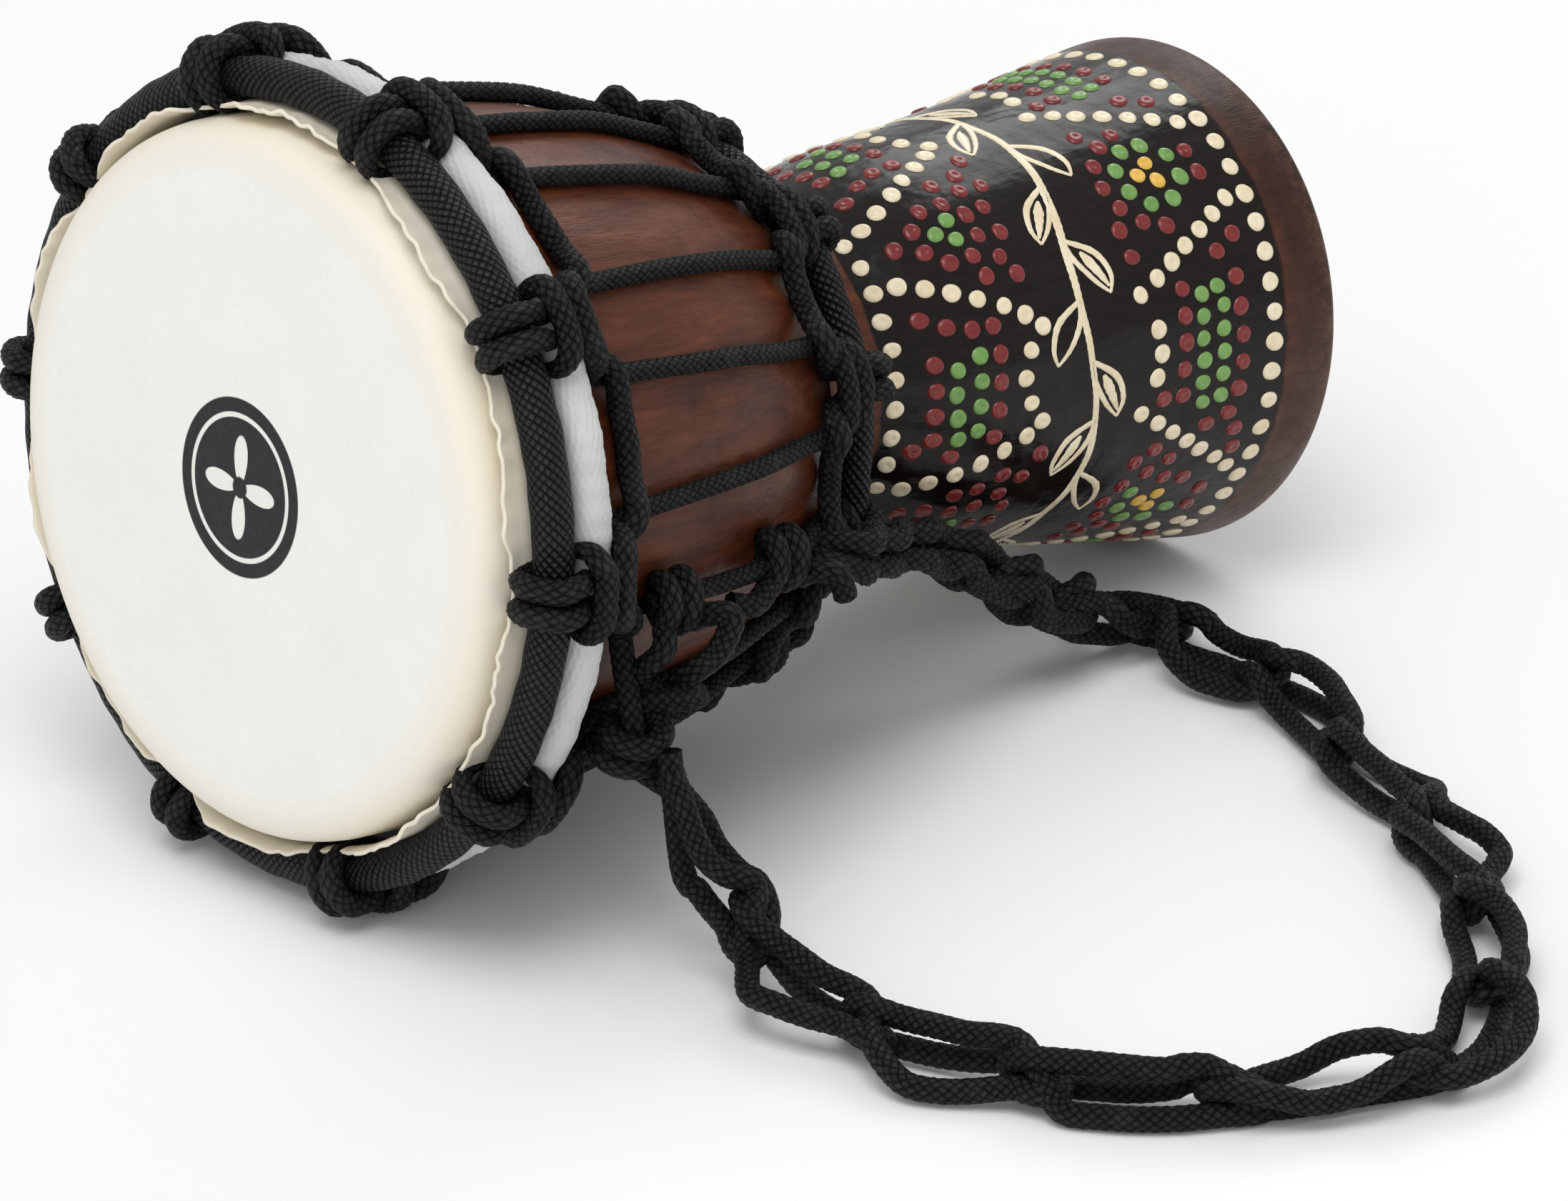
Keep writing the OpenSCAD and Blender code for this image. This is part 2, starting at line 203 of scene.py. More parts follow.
# ---- meshes
def new_mesh(name, verts, faces, smooth=True):
    """An object from world millimetres."""
    mesh = bpy.data.meshes.new(name)
    mesh.from_pydata((np.asarray(verts) * MM).tolist(), [], faces)
    mesh.validate()
    if smooth:
        mesh.polygons.foreach_set("use_smooth", [True] * len(mesh.polygons))
    obj = bpy.data.objects.new(name, mesh)
    bpy.context.scene.collection.objects.link(obj)
    return obj


def grid_faces(rows, cols, wrap_rows, wrap_cols):
    i = np.arange(rows if wrap_rows else rows - 1)
    j = np.arange(cols if wrap_cols else cols - 1)
    i, j = np.meshgrid(i, j, indexing="ij")
    i2, j2 = (i + 1) % rows, (j + 1) % cols
    quads = np.stack([i * cols + j, i * cols + j2, i2 * cols + j2, i2 * cols + j], axis=-1)
    return quads.reshape(-1, 4)


def add_uv(obj, name, uv_of_corner):
    layer = obj.data.uv_layers.new(name=name)
    layer.data.foreach_set("uv", np.asarray(uv_of_corner, np.float32).ravel())


def add_vector(obj, name, values):
    """Stores one vector for each vertex, for materials to read."""
    field = obj.data.attributes.new(name, "FLOAT_VECTOR", "POINT")
    field.data.foreach_set("vector", np.asarray(values, np.float32).ravel())


def grid_uv(faces, rows, cols, u_of_col, v_of_row):
    """Corner UVs for a grid, with the seams opened."""
    i, j = faces // cols, faces % cols
    i = np.where(i < i[:, :1] - 1, i + rows, i)
    j = np.where(j < j[:, :1] - 1, j + cols, j)
    return np.stack([u_of_col(j), v_of_row(i)], axis=-1)


def braid(a, b):
    """Height of a braid's cell, pillowed, where a and b count its two sets of strands."""
    return np.sqrt(np.abs(np.sin(np.pi * a) * np.sin(np.pi * b)) + 0.02)


def rope(name, path, closed=False, step=0.5, sides=24, strands=8, lay=1.8, relief=0.24):
    """A braided rope through [x, y, z, radius] world points, with its relief in the mesh."""
    rings, length = spaced(catmull(path, 14, closed), step, closed)
    p, r = rings[:, :3], rings[:, 3:4]
    v, w = carried_frames(p, closed)
    n = len(p)
    theta = np.arange(sides) * 2 * np.pi / sides
    count = max(round(length / lay), 1)
    s = np.arange(n) / n * count
    a = strands * theta[None, :] / (2 * np.pi) + s[:, None]
    b = strands * theta[None, :] / (2 * np.pi) - s[:, None]
    slack = 1 + 0.03 * np.sin(0.35 * s[:, None]) * np.cos(theta[None, :] + 0.2 * s[:, None])
    rad = r * slack - relief + relief * 1.35 * braid(a, b)
    rad = rad[..., None]
    ring = (np.cos(theta)[None, :, None] * v[:, None, :]
            + np.sin(theta)[None, :, None] * w[:, None, :])
    verts = (p[:, None, :] + rad * ring).reshape(-1, 3)
    quads = grid_faces(n, sides, closed, True)
    faces = quads[:, ::-1].tolist()
    if not closed:
        k = (n - 1) * sides
        faces.append(list(range(sides)))
        faces.append([k + j for j in range(sides - 1, -1, -1)])
    obj = new_mesh(name, verts, faces)
    uv = grid_uv(quads[:, ::-1], n, sides, lambda j: j / sides * strands,
                 lambda i: i / n * count)
    uv = uv.reshape(-1, 2)
    if not closed:
        uv = np.vstack([uv, np.zeros((2 * sides, 2))])
    add_uv(obj, "braid", uv)
    if not closed:
        for cap in obj.data.polygons[-2:]:
            cap.use_smooth = False
    return obj, p, length


def lathe(name, profile, count, bend, closed=True):
    """A turned drum-space shape, whose points bend(r, angle, u, row) moves."""
    prof = np.asarray(profile, float)
    rows = len(prof)
    ang = np.arange(count) * 2 * np.pi / count
    r = np.repeat(prof[:, :1], count, axis=1)
    u = np.repeat(prof[:, 1:2], count, axis=1)
    a = np.repeat(ang[None, :], rows, axis=0)
    r, a, u = bend(r, a, u, np.repeat(np.arange(rows)[:, None], count, axis=1))
    local = np.stack([r * np.cos(a), r * np.sin(a), u], axis=-1).reshape(-1, 3)
    quads = grid_faces(rows, count, closed, True)
    obj = new_mesh(name, to_world(local), quads.tolist())
    add_vector(obj, "drum", local)
    arc = np.concatenate([[0], np.cumsum(np.linalg.norm(np.diff(prof, axis=0), axis=1))])
    arc = np.append(arc, arc[-1] + 1)
    uv = grid_uv(quads, rows, count, lambda j: j / count, lambda i: arc[i])
    add_uv(obj, "turned", uv.reshape(-1, 2))
    return obj


# ---- materials
def material(name, color, roughness):
    mat = bpy.data.materials.new(name)
    mat.use_nodes = True
    nt = mat.node_tree
    shader = nt.nodes["Principled BSDF"]
    shader.inputs["Base Color"].default_value = (*color, 1)
    shader.inputs["Roughness"].default_value = roughness
    return mat, nt, shader


def node(nt, kind, inputs=None, **props):
    n = nt.nodes.new(kind)
    for key, value in props.items():
        setattr(n, key, value)
    for key, value in (inputs or {}).items():
        if isinstance(value, bpy.types.NodeSocket):
            nt.links.new(value, n.inputs[key])
        else:
            n.inputs[key].default_value = value
    return n


def math_node(nt, op, a, b=0.0, clamp=False):
    return node(nt, "ShaderNodeMath", {0: a, 1: b}, operation=op, use_clamp=clamp).outputs[0]


def times(nt, a, b):
    return math_node(nt, "MULTIPLY", a, b)


def plus(nt, a, b):
    return math_node(nt, "ADD", a, b)


def ridge(nt, value, power):
    """Rounded ridges, one for each whole step of value; a lower power makes them fuller."""
    bow = math_node(nt, "ABSOLUTE", math_node(nt, "SINE", times(nt, value, math.pi)))
    return math_node(nt, "POWER", bow, power)


def fade(nt, value, low, high):
    """0 at low and 1 at high, and no further."""
    return node(nt, "ShaderNodeMapRange",
                {"Value": value, "From Min": low, "From Max": high}).outputs[0]


def ramp(nt, fac, stops):
    n = node(nt, "ShaderNodeValToRGB", {"Fac": fac})
    e = n.color_ramp.elements
    while len(e) < len(stops):
        e.new(0.5)
    for i, (at, color) in enumerate(stops):
        e[i].position = at
        e[i].color = (*color, 1)
    return n.outputs["Color"]


def grey(v):
    return (v, v, v)


def grey_ramp(nt, fac, *stops):
    """A ramp of grey levels, each stop given as (position, level)."""
    return ramp(nt, fac, [(at, grey(level)) for at, level in stops])


def mix(nt, fac, a, b, blend="MIX"):
    n = node(nt, "ShaderNodeMix", data_type="RGBA", blend_type=blend)
    for socket, value in ((n.inputs[0], fac), (n.inputs[6], a), (n.inputs[7], b)):
        if isinstance(value, bpy.types.NodeSocket):
            nt.links.new(value, socket)
        elif isinstance(value, tuple):
            socket.default_value = (*value, 1)
        else:
            socket.default_value = value
    return n.outputs[2]


def noise(nt, vector, scale, detail=3.0, rough=0.5, distortion=0.0):
    return node(nt, "ShaderNodeTexNoise",
                {"Vector": vector, "Scale": scale, "Detail": detail, "Roughness": rough,
                 "Distortion": distortion}).outputs["Fac"]


def stretched(nt, vector, scale):
    return node(nt, "ShaderNodeMapping", {"Vector": vector, "Scale": scale}).outputs[0]


def object_vector(nt):
    return node(nt, "ShaderNodeTexCoord").outputs["Object"]


def drum_vector(nt):
    return node(nt, "ShaderNodeAttribute", attribute_name="drum").outputs["Vector"]


def parts(nt, vector):
    n = node(nt, "ShaderNodeSeparateXYZ", {0: vector})
    return n.outputs[0], n.outputs[1], n.outputs[2]


def set_bump(nt, shader, height, distance, strength=1.0):
    n = node(nt, "ShaderNodeBump",
             {"Height": height, "Distance": distance, "Strength": strength})
    nt.links.new(n.outputs[0], shader.inputs["Normal"])


def put(nt, value, shader, socket):
    nt.links.new(value, shader.inputs[socket])


def radius_of(nt, x, y):
    xx = times(nt, x, x)
    yy = times(nt, y, y)
    return math_node(nt, "SQRT", plus(nt, xx, yy))


def wood_material():
    """Stained carved wood, with the glossy black paint of the foot."""
    mat, nt, shader = material("carved_wood", (0.1, 0.03, 0.015), 0.35)
    at = drum_vector(nt)
    x, y, u = parts(nt, at)
    grain = noise(nt, stretched(nt, at, (0.35, 0.35, 0.025)), 1.0, 6, 0.6, 0.4)
    streak = noise(nt, stretched(nt, at, (1.6, 1.6, 0.06)), 1.0, 4, 0.65)
    pore = noise(nt, stretched(nt, at, (4.5, 4.5, 0.35)), 1.0, 2, 0.5)
    smudge = noise(nt, stretched(nt, at, (0.045, 0.045, 0.035)), 1.0, 3, 0.55, 0.6)
    base = ramp(nt, grain, [(0.30, (0.060, 0.0150, 0.0060)), (0.50, (0.105, 0.0270, 0.0105)),
                            (0.72, (0.160, 0.0450, 0.0175))])
    base = mix(nt, 0.45, base, ramp(nt, streak, [(0.3, (0.55, 0.53, 0.52)),
                                                 (0.65, (1.08, 1.05, 1.0))]), "MULTIPLY")
    dark = ramp(nt, smudge, [(0.44, grey(1.0)), (0.68, (0.42, 0.38, 0.37))])
    base = mix(nt, 0.7, base, dark, "MULTIPLY")
    # The wood is darker round the waist, at the bottom ring.
    low = fade(nt, u, 76, 96)
    high = fade(nt, u, 104, 96)
    waist_dark = times(nt, low, high)
    base = mix(nt, times(nt, waist_dark, 0.7), base, (0.02, 0.011, 0.009))
    flecks = grey_ramp(nt, pore, (0.30, 0.35), (0.36, 1.0))
    base = mix(nt, 0.6, base, flecks, "MULTIPLY")
    # The rim is darker, and greyer towards one side, with rubbed patches.
    dull = fade(nt, u, 188, 194)
    blotch = noise(nt, at, 0.22, 5, 0.7, 0.5)
    soil = ramp(nt, blotch, [(0.35, (0.030, 0.0125, 0.0080)), (0.52, (0.052, 0.0250, 0.0170)),
                             (0.70, (0.085, 0.0500, 0.0380))])
    stain = ramp(nt, blotch, [(0.35, (0.014, 0.0042, 0.0022)), (0.70, (0.040, 0.0120, 0.0060))])
    upper = fade(nt, x, -22, 24)
    soil = mix(nt, upper, soil, stain)
    base = mix(nt, times(nt, dull, 0.85), base, soil)
    rim = fade(nt, u, 196, 202)
    wear = noise(nt, at, 0.5, 4, 0.7)
    worn = times(nt, rim, grey_ramp(nt, wear, (0.45, 0), (0.6, 1)))
    base = mix(nt, times(nt, worn, 0.5), base, (0.16, 0.075, 0.045))
    # Bare, dull wood inside.
    rr = radius_of(nt, x, y)
    inside = bore_mask(nt, rr, u)
    raw = ramp(nt, grain, [(0.3, (0.10, 0.055, 0.035)), (0.7, (0.24, 0.14, 0.085))])
    base = mix(nt, inside, base, raw)
    # The painted band, with a hand-cut edge.
    edge = math_node(nt, "SUBTRACT", noise(nt, at, 0.11, 3, 0.5), 0.5)
    shifted = plus(nt, u, times(nt, edge, 3.2))
    start = fade(nt, shifted, 110.6, 111.1)
    end = fade(nt, shifted, 191.6, 190.9)
    band = times(nt, start, end)
    outside = math_node(nt, "SUBTRACT", 1.0, inside, True)
    band = times(nt, band, outside)
    brush = noise(nt, stretched(nt, at, (0.9, 0.9, 0.05)), 1.0, 3, 0.6)
    ink = ramp(nt, brush, [(0.35, (0.0045, 0.0024, 0.0014)), (0.7, (0.0085, 0.0054, 0.0040))])
    put(nt, mix(nt, band, base, ink), shader, "Base Color")
    sheen = noise(nt, at, 0.09, 4, 0.6)
    rough_wood = grey_ramp(nt, sheen, (0.3, 0.30), (0.7, 0.50))
    rough_wood = mix(nt, inside, rough_wood, grey(0.75))
    rough_ink = grey_ramp(nt, sheen, (0.3, 0.14), (0.7, 0.30))
    put(nt, mix(nt, band, rough_wood, rough_ink), shader, "Roughness")
    put(nt, mix(nt, band, grey(0.3), grey(0.25)), shader, "Specular IOR Level")
    tooth = times(nt, streak, 0.6)
    hills = times(nt, noise(nt, at, 0.16, 2, 0.5), 2.2)
    height = plus(nt, plus(nt, tooth, hills), times(nt, pore, 0.25))
    drawn = plus(nt, times(nt, brush, 0.35), hills)
    height = mix(nt, band, height, drawn)
    set_bump(nt, shader, height, 0.00022, 0.8)
    return mat


def bore_mask(nt, rr, u):
    """1 on the inside of the shell: the wall's middle radius is compared along u."""
    curve = node(nt, "ShaderNodeFloatCurve", {"Value": math_node(nt, "DIVIDE", u, DRUM_H)})
    line = curve.mapping.curves[0].points
    widest = 60.0
    spots = [(0, 52.2), (20, 53), (40, 51.2), (60, 47.8), (75, 42.5), (85, 37), (93, 29),
             (100, 24), (106, 22.6), (112, 23), (125, 28), (145, 32), (170, 36), (190, 39.4),
             (202, 40)]
    while len(line) < len(spots):
        line.new(0.5, 0.5)
    for point, (along, radius) in zip(line, spots):
        point.location = (along / DRUM_H, radius / widest)
        point.handle_type = "VECTOR"
    curve.mapping.update()
    wall = times(nt, curve.outputs[0], widest)
    return fade(nt, math_node(nt, "SUBTRACT", wall, rr), -0.3, 0.3)


def skin_material():
    """Matte drum skin: off-white face with a plain printed disc, cream towards the edge."""
    mat, nt, shader = material("drum_skin", (0.86, 0.83, 0.75), 0.6)
    at = drum_vector(nt)
    x, y, u = parts(nt, at)
    rr = radius_of(nt, x, y)
    mottle = noise(nt, at, 0.06, 5, 0.6, 0.3)
    fine = noise(nt, at, 1.1, 3, 0.6)
    white = ramp(nt, mottle, [(0.3, (0.83, 0.815, 0.77)), (0.7, (0.87, 0.857, 0.82))])
    white = mix(nt, 0.35, white, grey_ramp(nt, fine, (0.35, 0.93), (0.65, 1.0)), "MULTIPLY")
    edge = fade(nt, rr, 49, 57.5)
    warm = times(nt, edge, grey_ramp(nt, mottle, (0.25, 0.45), (0.75, 0.9)))
    base = mix(nt, warm, white, (0.78, 0.70, 0.53))
    # The turned fold round the flesh ring is a light grey, darker than the face.
    fold = fade(nt, u, 12, 15)
    pale = ramp(nt, mottle, [(0.3, (0.50, 0.51, 0.50)), (0.7, (0.62, 0.63, 0.62))])
    base = mix(nt, fold, base, pale)
    # A plain round print in the middle: a dark disc with a thin ring and four petals.
    disc = fade(nt, rr, 14.45, 14.25)
    ring = band_mask(nt, rr, 11.2, 12.0)
    petals = petal_mask(nt, x, y, rr)
    light = math_node(nt, "MAXIMUM", ring, petals)
    print_color = mix(nt, light, (0.012, 0.012, 0.013), (0.80, 0.79, 0.75))
    face = fade(nt, u, 1.2, 0.9)
    disc = times(nt, disc, face)
    put(nt, mix(nt, disc, base, print_color), shader, "Base Color")
    rough = grey_ramp(nt, fine, (0.3, 0.52), (0.7, 0.68))
    put(nt, rough, shader, "Roughness")
    shader.inputs["Specular IOR Level"].default_value = 0.35
    drag = noise(nt, stretched(nt, at, (0.5, 0.5, 0.12)), 1.0, 4, 0.6)
    height = plus(nt, times(nt, fine, 0.35), drag)
    set_bump(nt, shader, height, 0.00012, 0.6)
    return mat


def band_mask(nt, value, low, high):
    a = fade(nt, value, low - 0.08, low + 0.08)
    b = fade(nt, value, high + 0.08, high - 0.08)
    return times(nt, a, b)


def petal_mask(nt, x, y, rr):
    """Four plain leaf shapes round the centre."""
    angle = math_node(nt, "ARCTAN2", y, x)
    lobes = math_node(nt, "ABSOLUTE", math_node(nt, "COSINE", times(nt, angle, 2.0)))
    reach = times(nt, math_node(nt, "POWER", lobes, 2.2), 8.6)
    gap = math_node(nt, "SUBTRACT", reach, rr)
    leaf = fade(nt, gap, 0.0, 0.25)
    core = fade(nt, rr, 1.6, 1.9)
    return times(nt, leaf, core)


def braid_material(name, shine, fuzz):
    """Black braided polyester: strand lines within each cell, a little lint, and painted shade in
    the creases between cells and strands, on the colour and the specular level.
    """
    mat, nt, shader = material(name, (0.012, 0.012, 0.013), 0.5)
    a, b, _ = parts(nt, node(nt, "ShaderNodeUVMap", uv_map="braid").outputs[0])
    one = plus(nt, a, b)
    two = math_node(nt, "SUBTRACT", a, b)
    checker = plus(nt, math_node(nt, "FLOOR", one), math_node(nt, "FLOOR", two))
    over = math_node(nt, "LESS_THAN", math_node(nt, "FRACT", times(nt, checker, 0.5)), 0.25)
    lines = node(nt, "ShaderNodeMix", {"Factor": over, "A": one, "B": two}).outputs[0]
    other = node(nt, "ShaderNodeMix", {"Factor": over, "A": two, "B": one}).outputs[0]
    yarn = math_node(nt, "SINE", times(nt, lines, 2 * math.pi * 5))
    yarn = plus(nt, times(nt, yarn, 0.5), 0.5)
    at = object_vector(nt)
    wob = noise(nt, at, 900, 3, 0.6)
    lint = noise(nt, at, 160, 4, 0.7)
    cell = times(nt, ridge(nt, lines, 0.35), ridge(nt, other, 0.7))
    crease_shade = times(nt, cell, plus(nt, times(nt, yarn, 0.5), 0.5))
    # Painted shade: the colour darkens into the creases between cells and strands.
    base = ramp(nt, crease_shade, [(0.15, (0.0028, 0.0028, 0.0030)), (0.85, (0.0100, 0.0100, 0.0110))])
    dusty = grey_ramp(nt, lint, (0.52, 0.0), (0.72, fuzz))
    put(nt, mix(nt, dusty, base, (0.05, 0.05, 0.051)), shader, "Base Color")
    put(nt, grey_ramp(nt, wob, (0.3, shine), (0.7, shine + 0.2)), shader, "Roughness")
    # Painted shade on the specular as well: it drops in the creases.
    put(nt, grey_ramp(nt, crease_shade, (0.2, 0.10), (0.9, 0.42)), shader, "Specular IOR Level")
    height = plus(nt, times(nt, yarn, 0.25), plus(nt, cell, times(nt, wob, 0.3)))
    set_bump(nt, shader, height, 0.00034, 1.0)
    return mat


def tape_material():
    """Black tubular tape in a fine weave, slightly glossy, with painted shade in the creases of the
    weave, on the colour and the specular level.
    """
    mat, nt, shader = material("woven_tape", (0.014, 0.014, 0.015), 0.5)
    a, b, _ = parts(nt, node(nt, "ShaderNodeUVMap", uv_map="weave").outputs[0])
    one = plus(nt, a, b)
    two = math_node(nt, "SUBTRACT", a, b)
    cell = times(nt, ridge(nt, one, 0.4), ridge(nt, two, 0.8))
    wob = noise(nt, object_vector(nt), 500, 3, 0.6)
    crease_shade = times(nt, cell, plus(nt, wob, 0.4))
    # Painted shade: the colour darkens into the creases of the weave.
    base = ramp(nt, crease_shade, [(0.1, (0.0022, 0.0022, 0.0024)), (0.8, (0.0095, 0.0095, 0.0105))])
    put(nt, base, shader, "Base Color")
    put(nt, grey_ramp(nt, wob, (0.3, 0.38), (0.7, 0.58)), shader, "Roughness")
    # Painted shade on the specular as well: it drops in the creases.
    put(nt, grey_ramp(nt, crease_shade, (0.15, 0.08), (0.8, 0.34)), shader, "Specular IOR Level")
    set_bump(nt, shader, plus(nt, cell, times(nt, wob, 0.3)), 0.0003, 1.0)
    return mat


def dot_material(name, color, light):
    """Thick glossy acrylic, a little uneven."""
    mat, nt, shader = material(name, color, 0.3)
    at = object_vector(nt)
    n = noise(nt, at, 260, 3, 0.6)
    put(nt, ramp(nt, n, [(0.3, color), (0.7, light)]), shader, "Base Color")
    put(nt, grey_ramp(nt, n, (0.3, 0.22), (0.7, 0.42)), shader, "Roughness")
    shader.inputs["Specular IOR Level"].default_value = 0.25
    shader.inputs["Coat Weight"].default_value = 0.5
    set_bump(nt, shader, noise(nt, at, 700, 2, 0.5), 0.00006, 0.5)
    return mat


def steel_material():
    mat, nt, shader = material("ring_steel", (0.45, 0.45, 0.45), 0.35)
    at = object_vector(nt)
    shader.inputs["Metallic"].default_value = 1.0
    n = noise(nt, at, 350, 4, 0.6)
    put(nt, grey_ramp(nt, n, (0.3, 0.36), (0.7, 0.55)), shader, "Base Color")
    put(nt, grey_ramp(nt, n, (0.3, 0.3), (0.7, 0.5)), shader, "Roughness")
    return mat


# ---- camera
def camera():
    data = bpy.data.cameras.new("photo_camera")
    data.sensor_width = 36
    data.sensor_fit = "HORIZONTAL"
    data.lens = 166.0
    data.clip_end = 20
    obj = bpy.data.objects.new("photo_camera", data)
    bpy.context.scene.collection.objects.link(obj)
    eye = Vector((HEAD[0] - 621.1, -822.0, 520.1)) * MM
    ahead = Vector((0.6048, 0.6777, -0.4183)).normalized()
    right = Vector((0.7372, -0.6751, -0.0280))
    right = (right - ahead * right.dot(ahead)).normalized()
    up = right.cross(ahead)
    obj.matrix_world = Matrix.Translation(eye) @ Matrix((right, up, -ahead)).transposed().to_4x4()
    bpy.context.scene.camera = obj


# ---- strap
def chain_frames():
    """The strap's route in world millimetres, with its width and height axes."""
    route = np.array(STRAP_ROUTE, float) + np.array([HEAD_X, 0, 0])
    rings, length = spaced(catmull(route, 20), 0.5)
    t = unit(np.gradient(rings, axis=0))
    flat = unit(np.cross(np.tile([0, 0, 1.0], (len(t), 1)), t))
    return rings, flat, np.cross(t, flat), length


def stitch(length, i, roll):
    """One loop of the chain: [along, across, height] from its base to the next loop's."""
    loose = min(max((length - 9) / 12, 0.2), 1.0)
    flat = math.cos(roll) ** 2 * loose
    side = 1 if i % 2 else -1
    near = 2.8 + (3.7 + 1.1 * side + 0.8 * wave(i, 1)) * flat
    far = 2.8 + (3.7 - 1.1 * side + 0.8 * wave(i, 4)) * flat
    sag = -4.1 - (4.4 + 1.2 * wave(i, 2)) * (loose - flat)
    slip = 1.2 * wave(i, 6)
    peak = 0.5 + 0.06 * wave(i, 5)
    mid = 1.2 - 2.2 * flat
    enter = min(5.2, 0.8 + 0.5 * length * (peak - 0.2))
    leave = min(4.9, 0.7 + 0.5 * length * (peak - 0.21))
    run = length - 8
    return [[-8.5, slip * 0.6, 0.5 * sag - 2.0], [-4.8, 1.2, -2.6], [-1.4, 1.9, 1.3],
            [1.6, 2.2, 3.1], [enter, 1.4 + 0.45 * near, 2.7],
            [length * (peak - 0.2), near * 0.93, mid * 0.5 + 1.1],
            [length * peak, near, mid], [length * (peak + 0.2), near * 0.93, mid * 0.6],
            [length - 3.4, 1.5 + 0.5 * near, -0.2], [length - 0.6, 2.5, -0.1],
            [length + 1.2, 1.3, 0.0], [length + 1.8, -0.3, 0.1], [length + 0.8, -2.0, 0.0],
            [length - 2.6, -1.4 - 0.5 * far, -0.1],
            [length * (peak + 0.19), -far * 0.93, mid * 0.6], [length * (peak - 0.01), -far, mid],
            [length * (peak - 0.21), -far * 0.93, mid * 0.5 + 1.1],
            [leave, -1.4 - 0.45 * far, 2.6], [1.4, -2.2, 3.0], [-1.6, -2.1, 2.2],
            [-4.8, -1.9, 0.2], [-6.9, -1.4, -1.5], [-7.2, -0.3, -3.3], [-5.4, 0.5, -4.4],
            [-2.8, 0.4, -4.3], [-0.5, 0.3, -4.1], [0.25 * run - 0.5, slip * 0.4, 0.4 * sag - 2.7],
            [0.48 * run - 0.5, slip * 0.8, 0.9 * sag - 0.3], [0.73 * run - 0.5, slip, sag]]


def chain_roll(s):
    """How far the chain is turned about its own line, in radians, s millimetres along it."""
    return math.radians(46 + 44 * math.sin(s / 27 + 0.8) + 10 * math.sin(s / 9.5))


def chain_path():
    """The single rope of the chained strap, as [x, y, z, radius] points."""
    rings, flat, high, total = chain_frames()
    scale = (total - (CHAIN_START + CHAIN_END)) / sum(STITCH_GAPS)
    floor = ROPE_R + 0.05
    points = []
    base = CHAIN_START
    for i, gap in enumerate(STITCH_GAPS):
        step = gap * scale
        for along, across, height in stitch(step, i, chain_roll(base + step / 2)):
            s = min(max(base + along, 0), total)
            roll = chain_roll(s)
            k = min(int(s / total * (len(rings) - 1)), len(rings) - 1)
            c = across * math.cos(roll) - height * math.sin(roll)
            h = across * math.sin(roll) + height * math.cos(roll)
            p = rings[k] + flat[k] * c + high[k] * (h - 0.6)
            gap_z = p[2] - floor
            p[2] = floor + 0.5 * (gap_z + math.sqrt(gap_z * gap_z + 0.8))
            points.append([*p, ROPE_R])
        base += step
    points.append([*rings[-1], ROPE_R])
    return points


def strap(rope_mat):
    points = chain_path()
    obj, centres, length = rope("strap_chain", points, step=0.52)
    centres[:, 2] = np.maximum(centres[:, 2], ROPE_R)
    obj.data.materials.append(rope_mat)
    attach(obj, "root")
    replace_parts(obj, "strap")
    return obj, centres, length


def on_bowl(angle, r, u, points):
    """Points (along the ring, towards the foot, outwards) standing on the bowl."""
    a = math.radians(angle)
    out = np.array([math.cos(a), math.sin(a), 0])
    along = np.array([-math.sin(a), math.cos(a), 0])
    base = out * r + np.array([0, 0, u])
    p = np.array(points, float)
    local = (base + p[:, :1] * along + p[:, 1:2] * np.array([0, 0, 1.0]) + p[:, 2:3] * out)
    return np.hstack([to_world(local), p[:, 3:4]])


def bowl_at(u):
    return lookup(u, OUTER_BOWL)


def wraps(strand, turns, tail_in, tail_out):
    """Wraps round a strand on the bowl, squeezed where they pass under it, with two tails."""
    out = list(tail_in)
    for a in range(60, int(60 + 360 * turns) + 1, 30):
        c, s = math.cos(math.radians(a)), math.sin(math.radians(a))
        low = max(0.0, -s)
        r = ROPE_R - 0.8 * low * low
        reach = strand + 0.12 + r
        out.append([reach * c, (a - 60) / 360 * WRAP_PITCH, reach * s, r])
    return out + list(tail_out)


def knot(name, path, mat, solid):
    obj, _, _ = rope(name, path)
    obj.data.materials.append(mat)
    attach(obj, "root")
    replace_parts(obj, solid)
    return obj


